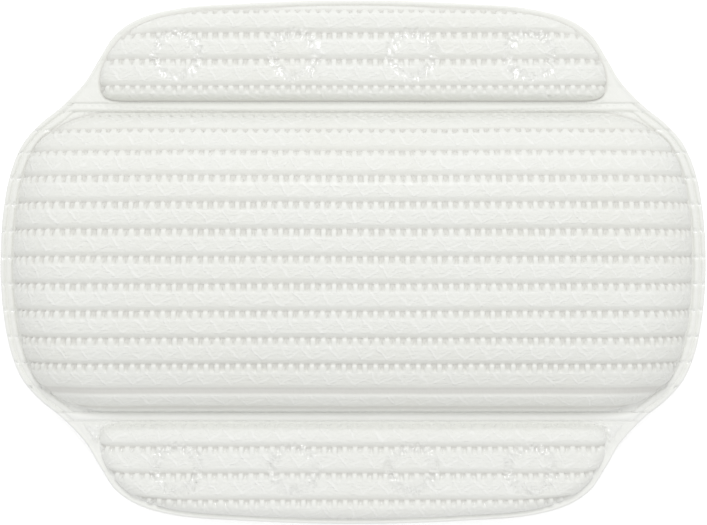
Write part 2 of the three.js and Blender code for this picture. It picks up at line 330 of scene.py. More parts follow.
FALL_DROP = 14.5  # how far it comes down over one pitch
FALL_COSINE = 0.615  # of its slant
RISE_START = 12.3
RISE_DROP = 6.2
RISE_COSINE = 0.877

# The room, in metres: each lamp's name, place, size and power
FLOOR_REACH = 3
FLOOR_GLOW = 0.45
ROOM_LIGHT = 0.745
LAMPS = (
    ("softbox", (0.03, 0.52, 1.1), (0.28, 0.28), 3.4),
    ("window", (0.05, 1.1, 0.8), (0.42, 0.1), 0.8),
)
CAMERA_PLACE = (0.0002, -0.0002, 0.7328)
CAMERA_LENS = 78.4


def ease(distance, length, fullness=2):
    """A quarter ellipse, or a fuller curve: 0 at an edge, 1 where the ease ends."""
    left = np.clip(1 - np.asarray(distance) / length, 0, 1)
    return (1 - left**fullness) ** (1 / fullness)


def step(low, high, value):
    """A smooth step from 0 at low to 1 at high."""
    share = np.clip((np.asarray(value) - low) / (high - low), 0, 1)
    return share * share * (3 - 2 * share)


def band(stops, value):
    """1 between the two middle stops, with smooth steps to 0 at the outer ones."""
    start, full, full_to, end = stops
    return step(start, full, value) * step(end, full_to, value)


def bell(value, width):
    """1 at zero, falling away over the width on both sides."""
    return np.exp(-((value / width) ** 2))


def noise(across, along, seed):
    """Smooth noise from -1 to 1, with features about one unit apart."""
    size = 128
    table = np.random.default_rng(seed).uniform(-1, 1, (size, size))
    column = np.floor(across).astype(int)
    row = np.floor(along).astype(int)
    right = step(0, 1, across - column)
    up = step(0, 1, along - row)
    levels = []
    for line in (row % size, (row + 1) % size):
        levels.append(table[column % size, line] * (1 - right) + table[(column + 1) % size, line] * right)
    return levels[0] * (1 - up) + levels[1] * up


def layered(layers, across, along):
    """The sum of several layers of noise."""
    return sum(height * noise(across / wide, along / tall, seed) for height, wide, tall, seed in layers)


def closed_curve(points, steps):
    """A centripetal Catmull-Rom curve through a closed loop of points."""

    def gap(a, b):
        return np.sqrt(np.linalg.norm(b - a, axis=1))[:, None]

    before = np.roll(points, 1, 0)
    after = np.roll(points, -1, 0)
    later = np.roll(points, -2, 0)
    first, middle, last = gap(before, points), gap(points, after), gap(after, later)
    leave = (points - before) / first - (after - before) / (first + middle) + (after - points) / middle
    arrive = (after - points) / middle - (later - points) / (middle + last) + (later - after) / last
    leave = (leave * middle)[:, None]
    arrive = (arrive * middle)[:, None]
    here, there = points[:, None], after[:, None]
    t = np.linspace(0, 1, steps, endpoint=False)[None, :, None]
    curve = here + leave * t + (3 * there - 3 * here - 2 * leave - arrive) * t**2
    curve = curve + (2 * here - 2 * there + leave + arrive) * t**3
    return curve.reshape(-1, 2)


def resampled(loop, spacing):
    """The same closed loop with its points evenly spaced."""
    closed = np.vstack([loop, loop[:1]])
    along = np.concatenate([[0], np.cumsum(np.linalg.norm(np.diff(closed, axis=0), axis=1))])
    count = round(along[-1] / spacing)
    places = np.arange(count) * along[-1] / count
    return np.stack([np.interp(places, along, closed[:, 0]), np.interp(places, along, closed[:, 1])], 1)


def inward(loop):
    """Unit vectors to the left of an anticlockwise loop, which is its inside."""
    tangent = np.roll(loop, -1, 0) - np.roll(loop, 1, 0)
    tangent = tangent / np.linalg.norm(tangent, axis=1)[:, None]
    return np.stack([-tangent[:, 1], tangent[:, 0]], 1)


def smoothed(loop, width):
    """The loop with its corners rounded by a blur of this width along it."""
    spacing = 0.25
    even = resampled(loop, spacing)
    waves = np.fft.rfftfreq(len(even), spacing)
    keep = np.exp(-2 * (np.pi * waves * width) ** 2)[:, None]
    return np.fft.irfft(np.fft.rfft(even, axis=0) * keep, len(even), axis=0)


def inside(points, loop):
    """Which points lie inside a closed loop."""
    found = np.zeros(len(points), bool)
    ends = np.roll(loop, -1, 0)
    for (x0, y0), (x1, y1) in zip(loop, ends):
        if y0 == y1:
            continue
        crosses = (points[:, 1] < y0) != (points[:, 1] < y1)
        found ^= crosses & (points[:, 0] < x0 + (points[:, 1] - y0) * (x1 - x0) / (y1 - y0))
    return found


def tree_of(points):
    """A search tree of points in plan."""
    tree = KDTree(len(points))
    for index, (x, y) in enumerate(points):
        tree.insert((x, y, 0), index)
    tree.balance()
    return tree


class Distance:
    """How far points are from a closed loop."""

    def __init__(self, loop):
        self.tree = tree_of(resampled(loop, 0.1))

    def __call__(self, points):
        return np.array([self.tree.find((x, y, 0))[2] for x, y in points])


def apart(points, room):
    """The points without any that lie closer than this to one before them."""
    tree = tree_of(points)
    dropped = np.zeros(len(points), bool)
    for index, (x, y) in enumerate(points):
        if not dropped[index]:
            for _, other, _ in tree.find_range((x, y, 0), room):
                dropped[other] |= other > index
    return points[~dropped]


def outline_loop():
    """The pillow's outline, anticlockwise."""
    quarter = OUTLINE_SHARES * (PILLOW_WIDTH / 2, PILLOW_LENGTH / 2)
    corners = [
        quarter[:-1],
        (quarter * (1, -1))[::-1][:-1],
        (quarter * (-1, -1))[:-1],
        (quarter * (-1, 1))[::-1][:-1],
    ]
    return closed_curve(np.concatenate(corners), OUTLINE_STEPS)[::-1]


OUTLINE = outline_loop()
from_outline = Distance(OUTLINE)
RIGHT_SIDE = OUTLINE[(OUTLINE[:, 0] >= 0) & (OUTLINE[:, 1] >= 0)]
RIGHT_SIDE = RIGHT_SIDE[np.argsort(RIGHT_SIDE[:, 1])]


def outline_half_width(y):
    """Half the pillow's width at a distance from its middle."""
    return np.interp(np.abs(y), RIGHT_SIDE[:, 1], RIGHT_SIDE[:, 0])


class Pad:
    """A crowned pad: the loop of its foot, and how high it stands over it."""

    def __init__(self, foot, rise, crown, fillet):
        self.foot = foot
        self.rise = rise
        self.crown = crown
        self.fillet = fillet
        self.from_foot = Distance(foot)

    def height(self, points):
        """The height of the surface over the foot, with a fillet where it leaves the foot."""
        distance = self.from_foot(points)
        soft = 1 - np.exp(-distance / self.fillet) if self.fillet else 1
        return self.rise * self.crown(points, distance) * soft


def cushion_half_width(y, inset):
    """Half the cushion's width at a place in Y."""
    to = CUSHION_LENGTH / 2 - inset
    corner = 1 - ease(to - np.abs(y), CUSHION_CORNER_RISE)
    return outline_half_width(y) - CUSHION_RIM - CUSHION_CORNER_DRAW * corner - inset


def cushion_ends(y, inset):
    """How the crown falls to both ends, as a share of its height."""
    to = CUSHION_LENGTH / 2 - inset
    return ease(y + to, CUSHION_FOOT_EASE, CUSHION_FOOT_FULLNESS) * ease(to - y, CUSHION_TOP_EASE)


def cushion_pad(inset, rows, spacing, top, base, fillet):
    """The cushion, drawn in on every side. Its foot has a point at each row and at each spacing."""
    to = CUSHION_LENGTH / 2 - inset
    end = cushion_half_width(to, inset)
    edge = np.arange(0, end - spacing / 2, spacing)
    turn = np.linspace(0, math.pi / 2, round(CUSHION_CORNER_ARC / spacing))
    corner_y = to - CUSHION_CORNER_RISE * (1 - np.cos(turn))
    side_y = rows[np.abs(rows) < to - CUSHION_CORNER_RISE - spacing / 2]
    corner_x = outline_half_width(corner_y) - CUSHION_RIM - CUSHION_CORNER_DRAW * (1 - np.sin(turn)) - inset
    side_x = cushion_half_width(side_y, inset)
    right = np.concatenate(
        [
            np.stack([edge, np.full(len(edge), -to)], 1),
            np.stack([corner_x, -corner_y], 1),
            np.stack([side_x, side_y], 1),
            np.stack([corner_x, corner_y], 1)[::-1],
            np.stack([edge, np.full(len(edge), to)], 1)[::-1],
        ]
    )
    left = right[1:-1][::-1] * (-1, 1)

    def crown(points, distance):
        x, y = points.T
        return cushion_ends(y, inset) * ease(cushion_half_width(y, inset) - np.abs(x), CUSHION_SIDE_EASE)

    return Pad(np.concatenate([right, left]), top - base, crown, fillet)


def flap_pad(side, inset, spacing, top, base, fillet):
    """A flap's pad, drawn in on every side by an inset."""
    near = WEB_END + (UPPER_PAD_GAP if side > 0 else LOWER_PAD_GAP)
    within = OUTLINE + inward(OUTLINE) * FLAP_RIM
    far = within[(within[:, 1] > near) & (np.abs(within[:, 0]) < FLAP_HALF_WIDTH)]
    far = far[np.argsort(-far[:, 0])]
    loop = np.concatenate([[(-FLAP_HALF_WIDTH, near), (FLAP_HALF_WIDTH, near)], far])
    loop = smoothed(loop, FLAP_CORNER_BLUR)
    loop = resampled(loop + inward(loop) * inset, spacing)
    if side < 0:
        loop = (loop * (1, -1))[::-1]

    def crown(points, distance):
        return ease(distance, FLAP_EASE)

    return Pad(loop, top - base, crown, fillet)


class Section:
    """The line up and over a pad's middle: how far along it each place in Y lies."""

    def __init__(self, pad):
        middle = pad.foot[np.abs(pad.foot[:, 0]) < 3, 1]
        low, high = middle.min(), middle.max()
        turn = np.linspace(0, math.pi, 3001)
        self.y = low + (high - low) * (1 - np.cos(turn)) / 2
        heights = pad.height(np.stack([np.zeros(len(turn)), self.y], 1))
        self.length = np.concatenate([[0], np.cumsum(np.hypot(np.diff(self.y), np.diff(heights)))])

    def along(self, y):
        return np.interp(y, self.y, self.length)

    def place(self, length):
        return np.interp(length, self.length, self.y)


def side_arc(turn, half_axis, height):
    """The length of a quarter ellipse from its level end to an angle."""
    nodes, weights = np.polynomial.legendre.leggauss(16)
    angles = turn[..., None] * (nodes + 1) / 2
    speed = np.sqrt((half_axis * np.cos(angles)) ** 2 + (height[..., None] * np.sin(angles)) ** 2)
    return (speed * weights).sum(-1) * turn / 2


def cushion_across(points):
    """The distance along the surface from the middle, across the cushion, where its sides drop away."""
    x, y = points.T
    level = cushion_half_width(y, 0) - CUSHION_SIDE_EASE
    turn = np.arcsin(np.clip((np.abs(x) - level) / CUSHION_SIDE_EASE, 0, 1))
    height = (CUSHION_TOP - RIM_TOP) * cushion_ends(y, 0)
    beyond = side_arc(turn, CUSHION_SIDE_EASE, height)
    return np.sign(x) * (np.minimum(np.abs(x), level) + beyond)


def flap_across(points):
    return points[:, 0]


def cushion_place(lengths, y):
    """Places across the cushion near one row, from lengths along the surface."""
    level = float(cushion_half_width(y, 0)) - CUSHION_SIDE_EASE
    turn = np.linspace(0, math.pi / 2, 120)
    height = np.full(len(turn), (CUSHION_TOP - RIM_TOP) * float(cushion_ends(y, 0)))
    known = np.concatenate([[0], level + side_arc(turn, CUSHION_SIDE_EASE, height)])
    places = np.concatenate([[0], level + CUSHION_SIDE_EASE * np.sin(turn)])
    found = np.interp(np.abs(lengths), known, places, right=PILLOW_WIDTH)
    return np.sign(lengths) * found


def flap_place(lengths, y):
    return lengths


def jitter(rib, finger, seed):
    """A steady random value from -1 to 1 for each finger of each rib."""
    ribs, fingers = 64, 256
    table = np.random.default_rng(seed).uniform(-1, 1, (ribs, fingers))
    return table[np.asarray(rib).astype(int) % ribs, np.asarray(finger).astype(int) % fingers]


def finger_middle(rib, finger):
    """Where a finger's middle lies. Every other row is shifted a little."""
    shifted = FINGER_PHASE + ROW_SHIFT * (2 * (rib % 2) - 1)
    return finger * FINGER_PITCH + shifted + FINGER_STRAY * jitter(rib, finger, 14)


def ribs_of(section, groove):
    """The ribs that a section crosses, each as a number counted downwards from its groove."""
    first = section.along(groove)
    return range(math.floor((first - section.length[-1]) / RIB_PITCH), math.ceil(first / RIB_PITCH))


def row_places(section, groove):
    """Every row's place in Y where it is straight."""
    rows = np.array(FINGER_ROWS + TOP_ROWS)
    below = np.concatenate([rib * RIB_PITCH + rows for rib in ribs_of(section, groove)])
    lengths = np.sort(section.along(groove) - below)
    lengths = lengths[(lengths > 0) & (lengths < section.length[-1])]
    return section.place(lengths)


def rib_lattice(section, groove, place, top_steps):
    """Points in rows that follow the pattern, closer together about each finger."""
    first = section.along(groove)
    reach = range(-math.ceil(PILLOW_WIDTH / FINGER_PITCH), math.ceil(PILLOW_WIDTH / FINGER_PITCH) + 1)
    fingers = np.array(reach)
    points = []
    for rib in ribs_of(section, groove):
        middles = finger_middle(rib, fingers)
        fine = (middles[:, None] + np.array(FINGER_COLUMNS)).ravel()
        coarse = (middles[:, None] + np.arange(top_steps) * FINGER_PITCH / top_steps).ravel()
        for row in FINGER_ROWS + TOP_ROWS:
            across = fine if row in FINGER_ROWS else coarse
            below = rib * RIB_PITCH + row
            lengths = first - below + layered(WANDER, across, below)
            kept = (lengths > 0) & (lengths < section.length[-1])
            y = section.place(lengths[kept])
            if len(y):
                points.append(np.stack([place(across[kept], float(y.mean())), y], 1))
    return np.concatenate(points)


def triangulated(points, loops, within, holes=()):
    """Triangles between points in plan, inside one loop and outside the holes, with all the loops' edges."""
    edges = [(int(a), int(b)) for loop in loops for a, b in zip(loop, np.roll(loop, -1))]
    found = delaunay_2d_cdt([Vector(point) for point in points], edges, [], 0, 1e-7)
    origin = found[3]
    if len(found[0]) != len(points) or not all(origin):
        raise ValueError("points in plan meet")
    first = np.array([source[0] for source in origin])
    faces = first[np.array(found[2])]
    on_loop = np.zeros(len(points), bool)
    on_loop[np.concatenate(loops)] = True
    doubtful = on_loop[faces].all(1)
    centres = points[faces[doubtful]].mean(1)
    good = inside(centres, within)
    for hole in holes:
        good &= ~inside(centres, hole)
    keep = ~doubtful
    keep[doubtful] = good
    return faces[keep]


def strip(first, second):
    """Triangles between two closed loops of as many vertices."""
    after_first = np.roll(first, -1)
    after_second = np.roll(second, -1)
    one = np.stack([first, after_first, after_second], 1)
    other = np.stack([first, after_second, second], 1)
    return np.concatenate([one, other])


class Shell:
    """Vertices and triangles of one piece, as they are added."""

    def __init__(self):
        self.points = np.zeros((0, 3))
        self.faces = np.zeros((0, 3), int)

    def add(self, plan, heights):
        start = len(self.points)
        heights = np.broadcast_to(heights, len(plan))
        self.points = np.vstack([self.points, np.column_stack([plan, heights])])
        return np.arange(start, len(self.points))

    def join(self, faces, upward=None):
        """Adds triangles. With upward given, they all face that way along Z."""
        faces = np.asarray(faces)
        if upward is not None:
            a, b, c = (self.points[faces[:, n], :2] for n in range(3))
            turn = (b[:, 0] - a[:, 0]) * (c[:, 1] - a[:, 1]) - (b[:, 1] - a[:, 1]) * (c[:, 0] - a[:, 0])
            wrong = (turn > 0) != upward
            faces[wrong] = faces[wrong][:, ::-1]
        self.faces = np.vstack([self.faces, faces])

    def normals(self):
        a, b, c = (self.points[self.faces[:, n]] for n in range(3))
        face_normals = np.cross(b - a, c - a)
        total = np.zeros_like(self.points)
        for n in range(3):
            np.add.at(total, self.faces[:, n], face_normals)
        return total / np.maximum(np.linalg.norm(total, axis=1), 1e-12)[:, None]


def dome(shell, pad, base, rings, lattice):
    """A pad's surface: rings round its foot, then a lattice of points. Returns the vertices of its foot."""
    normals = inward(pad.foot)
    loops = []
    for distance in rings:
        plan = pad.foot + normals * distance
        height = pad.height(plan) if distance else 0
        loops.append(shell.add(plan, base + height))
    for outer, inner in zip(loops, loops[1:]):
        shell.join(strip(outer, inner))
    inner = shell.points[loops[-1], :2]
    room = 0.35 * np.linalg.norm(inner - np.roll(inner, 1, 0), axis=1).mean()
    lattice = lattice[inside(lattice, inner)]
    lattice = lattice[Distance(inner)(lattice) > room]
    middle = shell.add(lattice, base + pad.height(lattice))
    used = np.concatenate([loops[-1], middle])
    local = np.arange(len(loops[-1]))
    faces = triangulated(shell.points[used, :2], [local], inner)
    shell.join(used[faces], upward=True)
    return loops[0]


def grid_points(loop, spacing):
    """Points of an even grid of triangles over a loop's box."""
    low, high = loop.min(0), loop.max(0)
    x = np.arange(low[0], high[0], spacing)
    y = np.arange(low[1], high[1], spacing * TRIANGLE_HEIGHT)
    across, along = np.meshgrid(x, y)
    across[1::2] += spacing / 2
    return np.stack([across.ravel(), along.ravel()], 1)


def part_of_outline(low, high, spacing):
    """The outline between two places along Y, closed with straight lines there."""

    def corner_by(point):
        limit = low if abs(point[1] - low) < abs(point[1] - high) else high
        return np.sign(point[0]) * float(outline_half_width(limit)), limit

    loop = resampled(OUTLINE, spacing)
    kept = (loop[:, 1] > low + spacing / 4) & (loop[:, 1] < high - spacing / 4)
    start = int(np.flatnonzero(kept & ~np.roll(kept, 1))[0])
    loop, kept = np.roll(loop, -start, 0), np.roll(kept, -start)
    cuts = np.flatnonzero(np.diff(kept.astype(int))) + 1
    runs = [loop[run] for run in np.split(np.arange(len(loop)), cuts) if kept[run[0]]]
    points = []
    for run, following in zip(runs, runs[1:] + runs[:1]):
        leave = corner_by(run[-1])
        entry = corner_by(following[0])
        count = max(2, round(abs(leave[0] - entry[0]) / spacing))
        line = np.linspace(leave, entry, count + 1)[1:-1]
        points += [np.array([corner_by(run[0])]), run, np.array([leave]), line]
    return np.concatenate(points)


def rim_height(points, edge, foot_distance, web_distance):
    """The welded rim's surface over its level."""
    from_edge = from_outline(points)
    height = np.interp(from_edge, *edge.T)
    if edge is CUSHION_EDGE:
        inner = np.interp(from_edge, *INNER_BAND.T)
        height = height * step(*EDGE_FADE, from_edge) + inner * step(6, 3, foot_distance)
    else:
        beads = sum(rise * bell(foot_distance - place, width) for place, width, rise in FLAP_BEADS)
        height = height + beads * step(2, 3.6, from_edge) * step(0.2, 1.6, web_distance)
        height = height + corner_panel(points)
    return height - WEB_LINE_DEPTH * bell(web_distance, 0.3)


def beyond_panel(points):
    """How far points lie outside the small triangle that the welds leave at both lower corners."""
    across = np.abs(np.abs(points[:, 0]) - PANEL_MIDDLE)
    down = -points[:, 1]
    slant = across * PANEL_SLANT[0] + (down - PANEL_FAR) * PANEL_SLANT[1]
    return np.maximum(slant, PANEL_NEAR - down)


def corner_panel(points):
    """The height of that triangle, crinkled inside a pressed line."""
    beyond = beyond_panel(points)
    crinkled = PANEL_HEIGHT + layered(PANEL_CRINKLE, points[:, 0], points[:, 1])
    return step(0.1, -0.6, beyond) * crinkled - PANEL_LINE_DEPTH * bell(beyond - 0.4, 0.3)


def pit_length(y):
    """How long the pits are, as a share of most of them. Those on the top slope and the flaps are short."""
    return 1 - TOP_SLOPE_SHORTER * band(TOP_SLOPE, y) - FLAP_SHORTER * step(*FLAP_PITS, np.abs(y))


def finger_strength(y):
    """The last grooves of the cushion's lower slope are pulled flat, with hardly any fingers."""
    return 1 - PULLED_FLAT * band(LAST_GROOVES, y)


def rib_height(across, below, y):
    """The pattern's height as a share of its depth, from lengths along the surface.

    Also gives each place's rib, its distance from that rib's groove, and how far it lies between the fingers.
    """
    below = below + layered(WANDER, across, below) - LOWER_PATTERN_SHIFT * step(*LOWER_PATTERN, y)
    rib = np.floor((below - FINGER_ROWS[0] + RIB_LEAD) / RIB_PITCH)
    from_line = below - rib * RIB_PITCH

    # Short pits are stretched to the usual length, and what follows them is drawn together
    end = PIT_END * pit_length(y)
    in_pit = from_line * PIT_END / end
    after_pit = PIT_END + (from_line - end) * (PIT_BLEND - PIT_END) / (PIT_BLEND - end)
    after_pit = np.where(from_line < PIT_BLEND, after_pit, from_line)
    from_line = np.where(from_line < end, in_pit, after_pit)

    # A finger has a rounded end, steep sides and a domed top with a faint hollow in it
    finger = np.round((across - finger_middle(rib, np.zeros(len(across)))) / FINGER_PITCH)
    aside = np.abs(across - finger_middle(rib, finger))
    half_width = FINGER_HALF_WIDTH * (1 + 0.08 * jitter(rib, finger, 16))
    half_width = half_width + FINGER_WIDENING * np.maximum(0, from_line)
    start = FINGER_START + 0.1 * jitter(rib, finger, 17)
    from_middle = np.hypot(aside, np.maximum(0, start + half_width - from_line))
    share = step(half_width + FINGER_SIDE, half_width - FINGER_SIDE, from_middle)
    domed = 1 - FINGER_DOME * np.clip(from_middle / half_width, 0, 1) ** 2 * step(2.8, 1.4, from_line)
    hollow = FINGER_HOLLOW * bell(aside, 0.5) * bell(from_line - 1.3, 0.7)
    finger_height = share * domed * np.interp(from_line, *FINGER_CREST.T) - hollow

    section = np.interp(from_line, *RIB_SECTION.T)
    section = np.where(from_line < 0, LINE_LEVEL, section)
    height = np.maximum(section, finger_height * step(6, 4, from_line) * finger_strength(y))
    return height, rib, from_line, 1 - share


def cup_dents(points):
    """Where the cups' feet show through a flap: a ring of pleated, crumpled sheet round a plainer disc."""
    ring, disc, pleats = np.zeros((3, len(points)))
    for side in (-1, 1):
        for number, x in enumerate(CUP_PLACES):
            dx, dy = points[:, 0] - x, points[:, 1] - side * CUP_ROW
            angle = np.arctan2(dy, dx)
            radius = np.hypot(dx, dy)
            drift = noise(angle * 2.2 + 20, np.full(len(angle), 3.0 * number), 31 + side)
            waves = DENT_WAVE_HEIGHT * np.cos(DENT_WAVES * angle) + DENT_DRIFT * drift
            radius = radius + waves * step(6, 10, radius)
            around = band(DENT_RING, radius)
            ring = np.maximum(ring, around)
            disc = np.maximum(disc, step(DENT_RING[3], DENT_RING[2], radius))
            pleats = pleats + around * np.cos(DENT_PLEATS * angle + 3 * drift + 0.9 * (radius - 10))
    return ring, disc, pleats


def rim_points(pad, outer_plan, low, high, lip_rings):
    """Points of the flat rim round a pad, in lines along its lip and in grids elsewhere."""
    edges = resampled(OUTLINE, RIM_SPACING)
    outward = -inward(pad.foot)
    lines = [edges + inward(edges) * distance for distance in lip_rings]
    round_foot = [pad.foot[::2] + outward[::2] * distance for distance in RIM_FOOT_RINGS]
    panel = grid_points(outer_plan, PANEL_FILL)
    panel = panel[beyond_panel(panel) < 1]
    fill = grid_points(outer_plan, RIM_FILL)
    fill = fill[from_outline(fill) > lip_rings[-1] + 0.5]
    from_rings = Distance(pad.foot + outward * 0.8)
    fill = fill[(from_rings(fill) > 0.6) & (beyond_panel(fill) >= 1)]
    plan = apart(np.concatenate(lines + [fill, panel] + round_foot), RIM_APART)
    room = np.minimum(plan[:, 1] - low, high - plan[:, 1])
    plan = plan[(room > RIM_ROOM) & ~inside(plan, pad.foot)]
    plan = plan[inside(plan, outer_plan)]
    return plan[pad.from_foot(plan) > RIM_ROOM]


def notches(points, from_line, edge):
    """Where the grooves run out over the cushion's rim, its lip and band are nipped."""
    if edge is not CUSHION_EDGE:
        return np.zeros(len(points))
    from_edge = from_outline(points)
    lip = band(NIPPED_LIP, from_edge) + band(NIPPED_BAND, from_edge)
    from_nip = np.minimum(np.abs(from_line - NIP_PLACE), RIB_PITCH + NIP_PLACE - from_line)
    return NIP_STRENGTH * bell(from_nip, NIP_WIDTH) * lip * step(66, 60, np.abs(points[:, 1]))


def weld_rim(shell, pad, foot, edge, lip_rings, low, high):
    """Adds the flat rim round a pad. Returns its outer vertices and their places in plan."""
    outer_plan = part_of_outline(low, high, RIM_SPACING)
    rim_plan = rim_points(pad, outer_plan, low, high, lip_rings)
    both = np.concatenate([outer_plan, rim_plan])
    web_distance = np.minimum(both[:, 1] - low, high - both[:, 1])
    heights = RIM_TOP + rim_height(both, edge, pad.from_foot(both), web_distance)
    outer = shell.add(outer_plan, heights[: len(outer_plan)])
    rim = shell.add(rim_plan, heights[len(outer_plan) :])
    used = np.concatenate([outer, foot, rim])
    loops = [np.arange(len(outer)), len(outer) + np.arange(len(foot))]
    faces = triangulated(shell.points[used, :2], loops, outer_plan, [pad.foot])
    shell.join(used[faces], upward=True)
    return outer, outer_plan


def press_pattern(shell, pad, section, groove, across, edge, top_of_pad):
    """Presses the pattern in along the surface's normals. Returns what its finish needs at each vertex, with
    its painted shade and painted light.
    """
    smooth = shell.points
    plan = smooth[:, :2]
    x, y = plan.T
    on_pad = np.arange(len(plan)) < top_of_pad
    stands = smooth[:, 2] - RIM_TOP
    fade = step(0.05, 0.8, stands) * on_pad
    lengths = across(plan)
    below = section.along(groove) - section.along(y)
    height, rib, from_line, between = rib_height(lengths, below, y)
    ring, disc, pleats = cup_dents(plan)
    lumps = layered(LUMPS, x, y)
    nips = notches(plan, from_line, edge) * ~on_pad
    first_row = band(FIRST_ROW, y)

    # The pad's ribs, dents and gentle swells
    kept_depth = FLAT_GROOVE + (1 - FLAT_GROOVE) * finger_strength(y)
    depth = GROOVE_DEPTH * (1 - height) * kept_depth * (1 - FIRST_ROW_FLATTER * first_row)
    depth = depth + WRINKLE_DEPTH * layered(WRINKLES, lengths, below) * step(2.5, 4, from_line)
    dent = ring * (DENT_DEPTH + DENT_LUMPS * lumps) - PLEAT_DEPTH * pleats + DISC_LUMPS * disc * lumps
    swell = 0.3 * noise(x / 38 + 9, y / 30 + 4, 43) + 0.12 * noise(x / 11, y / 9, 44)
    depth = depth * (1 - RING_FLATTER * ring - DISC_FLATTER * disc)
    pressed = fade * (depth + dent + swell * step(2, 9, stands))

    # On the rim the pattern is a trace, stronger at some ribs than at others
    strength = TRACE_LEAST + TRACE_MORE * (0.5 + 0.5 * jitter(rib, np.sign(x) + 1, 45))
    groove_line = bell(np.minimum(np.abs(from_line), RIB_PITCH - from_line), TRACE_WIDTH)
    trace = strength * groove_line + TRACE_OF_PITS * (1 - height)
    shell.points = smooth - shell.normals() * (pressed + NIP_DEPTH * nips + trace * ~on_pad)[:, None]
    shell.points[:, 2] -= FOOT_LINE_DEPTH * bell(pad.from_foot(plan), FOOT_LINE_WIDTH)

    # Painted glints: the pits of some rows are painted pale and take no painted shade
    wet = step(-74, -76, y) + band(WET_ROW, y) * (edge is CUSHION_EDGE) + disc
    glints = np.clip(wet, 0, 1) * bell(from_line - GLINT_PLACE, GLINT_WIDTH) * between
    glints = np.maximum(glints, first_row * between * band(ROW_OF_DOTS, from_line)) * on_pad
    panel = step(0.1, -0.5, beyond_panel(plan)) * ~on_pad
    # Painted shade: the pits are painted darker with their depth, and a dark line is painted along the pad's
    # foot
    foot_line = step(-40, 20, y) * bell(pad.from_foot(plan), FOOT_LINE_MARK)
    pits = step(*SHADED_DEPTH, 1 - height) * fade * (1 - GLINT_LIGHTER * glints) * (1 - first_row)
    pits = np.maximum(pits, FOOT_LINE_SHADE * foot_line)

    # Gloss on the tips of the fingers, on the ribs' edges and where the sheet is crumpled
    tips = step(0.45, 0.6, height) * step(1.3, 0.5, from_line)
    rib_edge = bell(from_line - RIB_EDGE_PLACE, RIB_EDGE_WIDTH)
    shine = RIB_GLOSS * np.maximum(rib_edge, tips) * (0.75 + 0.25 * lumps)
    gloss = np.maximum(np.maximum(RING_GLOSS * ring, shine) * fade, glints)
    gloss = np.maximum(gloss, np.maximum(nips, PANEL_GLOSS * panel))
    creases = band(CREASED, from_line) * np.where(on_pad, 0.25 + 0.75 * fade, RIM_CREASES)

    # Painted light: the sheet is painted paler low on the pads near the welds, more towards the lower end and
    # over the lower flap, to lift their shade; and painted highlights on the ribs' edges, the fingers' tips,
    # the ring's crests, the glints, the nips and the corner panel
    lower = step(0, -60, y)
    painted_lift = (PALE + PALE_SLOPE * lower) * step(6, 0.5, stands) + PALE_FLAP * step(-74, -76, y)
    pale = np.where(on_pad, painted_lift, PALE + PALE_RIM * lower)
    crest = np.clip(0.4 - 0.5 * lumps + 0.4 * pleats, 0, 1) * ring
    for share, where in ((PALE_RIB_EDGE, rib_edge), (PALE_TIP, tips), (PALE_CREST, crest)):
        pale = np.maximum(pale, share * where * fade)
    for mark in (glints, PALE_NIP * nips, PALE_PANEL * panel):
        pale = np.maximum(pale, mark)
    return {"ribs": np.stack([lengths, below, pale], 1), "marks": np.stack([pits, creases, gloss], 1)}


def close_behind(shell, outer, outer_plan, hollow):
    """Adds a cover's edge, its flat underside and the hollow for its foam."""
    middle_edge = shell.add(outer_plan, FILM_TOP + 0.5)
    under = shell.add(outer_plan, FILM_TOP)
    shell.join(strip(middle_edge, outer))
    shell.join(strip(under, middle_edge))
    start_of_hollow = len(shell.faces)
    inner_foot = dome(shell, hollow, FILM_TOP, HOLLOW_RINGS, grid_points(hollow.foot, 4))
    shell.faces[start_of_hollow:] = shell.faces[start_of_hollow:][:, ::-1]
    used = np.concatenate([under, inner_foot])
    loops = [np.arange(len(under)), len(under) + np.arange(len(inner_foot))]
    faces = triangulated(shell.points[used, :2], loops, outer_plan, [hollow.foot])
    shell.join(used[faces], upward=False)


def front_cover(name, body, pad, hollow, groove, low, high, place, across, rings, edge, lip_rings, top_steps):
    """One pad's part of the ribbed sheet, welded flat round the pad and hollow behind it."""
    shell = Shell()
    section = Section(pad)
    foot = dome(shell, pad, RIM_TOP, rings, rib_lattice(section, groove, place, top_steps))
    top_of_pad = len(shell.points)
    outer, outer_plan = weld_rim(shell, pad, foot, edge, lip_rings, low, high)
    attributes = press_pattern(shell, pad, section, groove, across, edge, top_of_pad)
    close_behind(shell, outer, outer_plan, hollow)
    made = piece(f"{name}_cover", shell, vinyl_material, body, attributes)
    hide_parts(f"{name}_front_cover")


def piece(name, shell, material, body, attributes=None):
    """A Blender object from a shell, riding on a body. Attributes are zero on vertices that have no value."""
    mesh = bpy.data.meshes.new(name)
    mesh.from_pydata(shell.points * METRES, [], shell.faces)
    for key, values in (attributes or {}).items():
        filled = np.zeros((len(shell.points), 3), np.float32)
        filled[: len(values)] = values
        mesh.attributes.new(key, "FLOAT_VECTOR", "POINT").data.foreach_set("vector", filled.ravel())
    mesh.validate()
    mesh.shade_smooth()
    mesh.materials.append(material)
    made = bpy.data.objects.new(name, mesh)
    bpy.context.scene.collection.objects.link(made)
    if body:
        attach(made, body)
    return made


def foam_core(name, pad, body):
    """The foam inside a pad: a smooth mound with a flat back, a little smaller than its hollow."""
    shell = Shell()
    foot = dome(shell, pad, FILM_TOP, FOAM_RINGS, grid_points(pad.foot, 2.4))
    faces = triangulated(shell.points[foot, :2], [np.arange(len(foot))], pad.foot)
    shell.join(foot[faces], upward=False)
    made = piece(f"{name}_foam", shell, foam_material, body)
    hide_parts(f"{name}_foam_core")


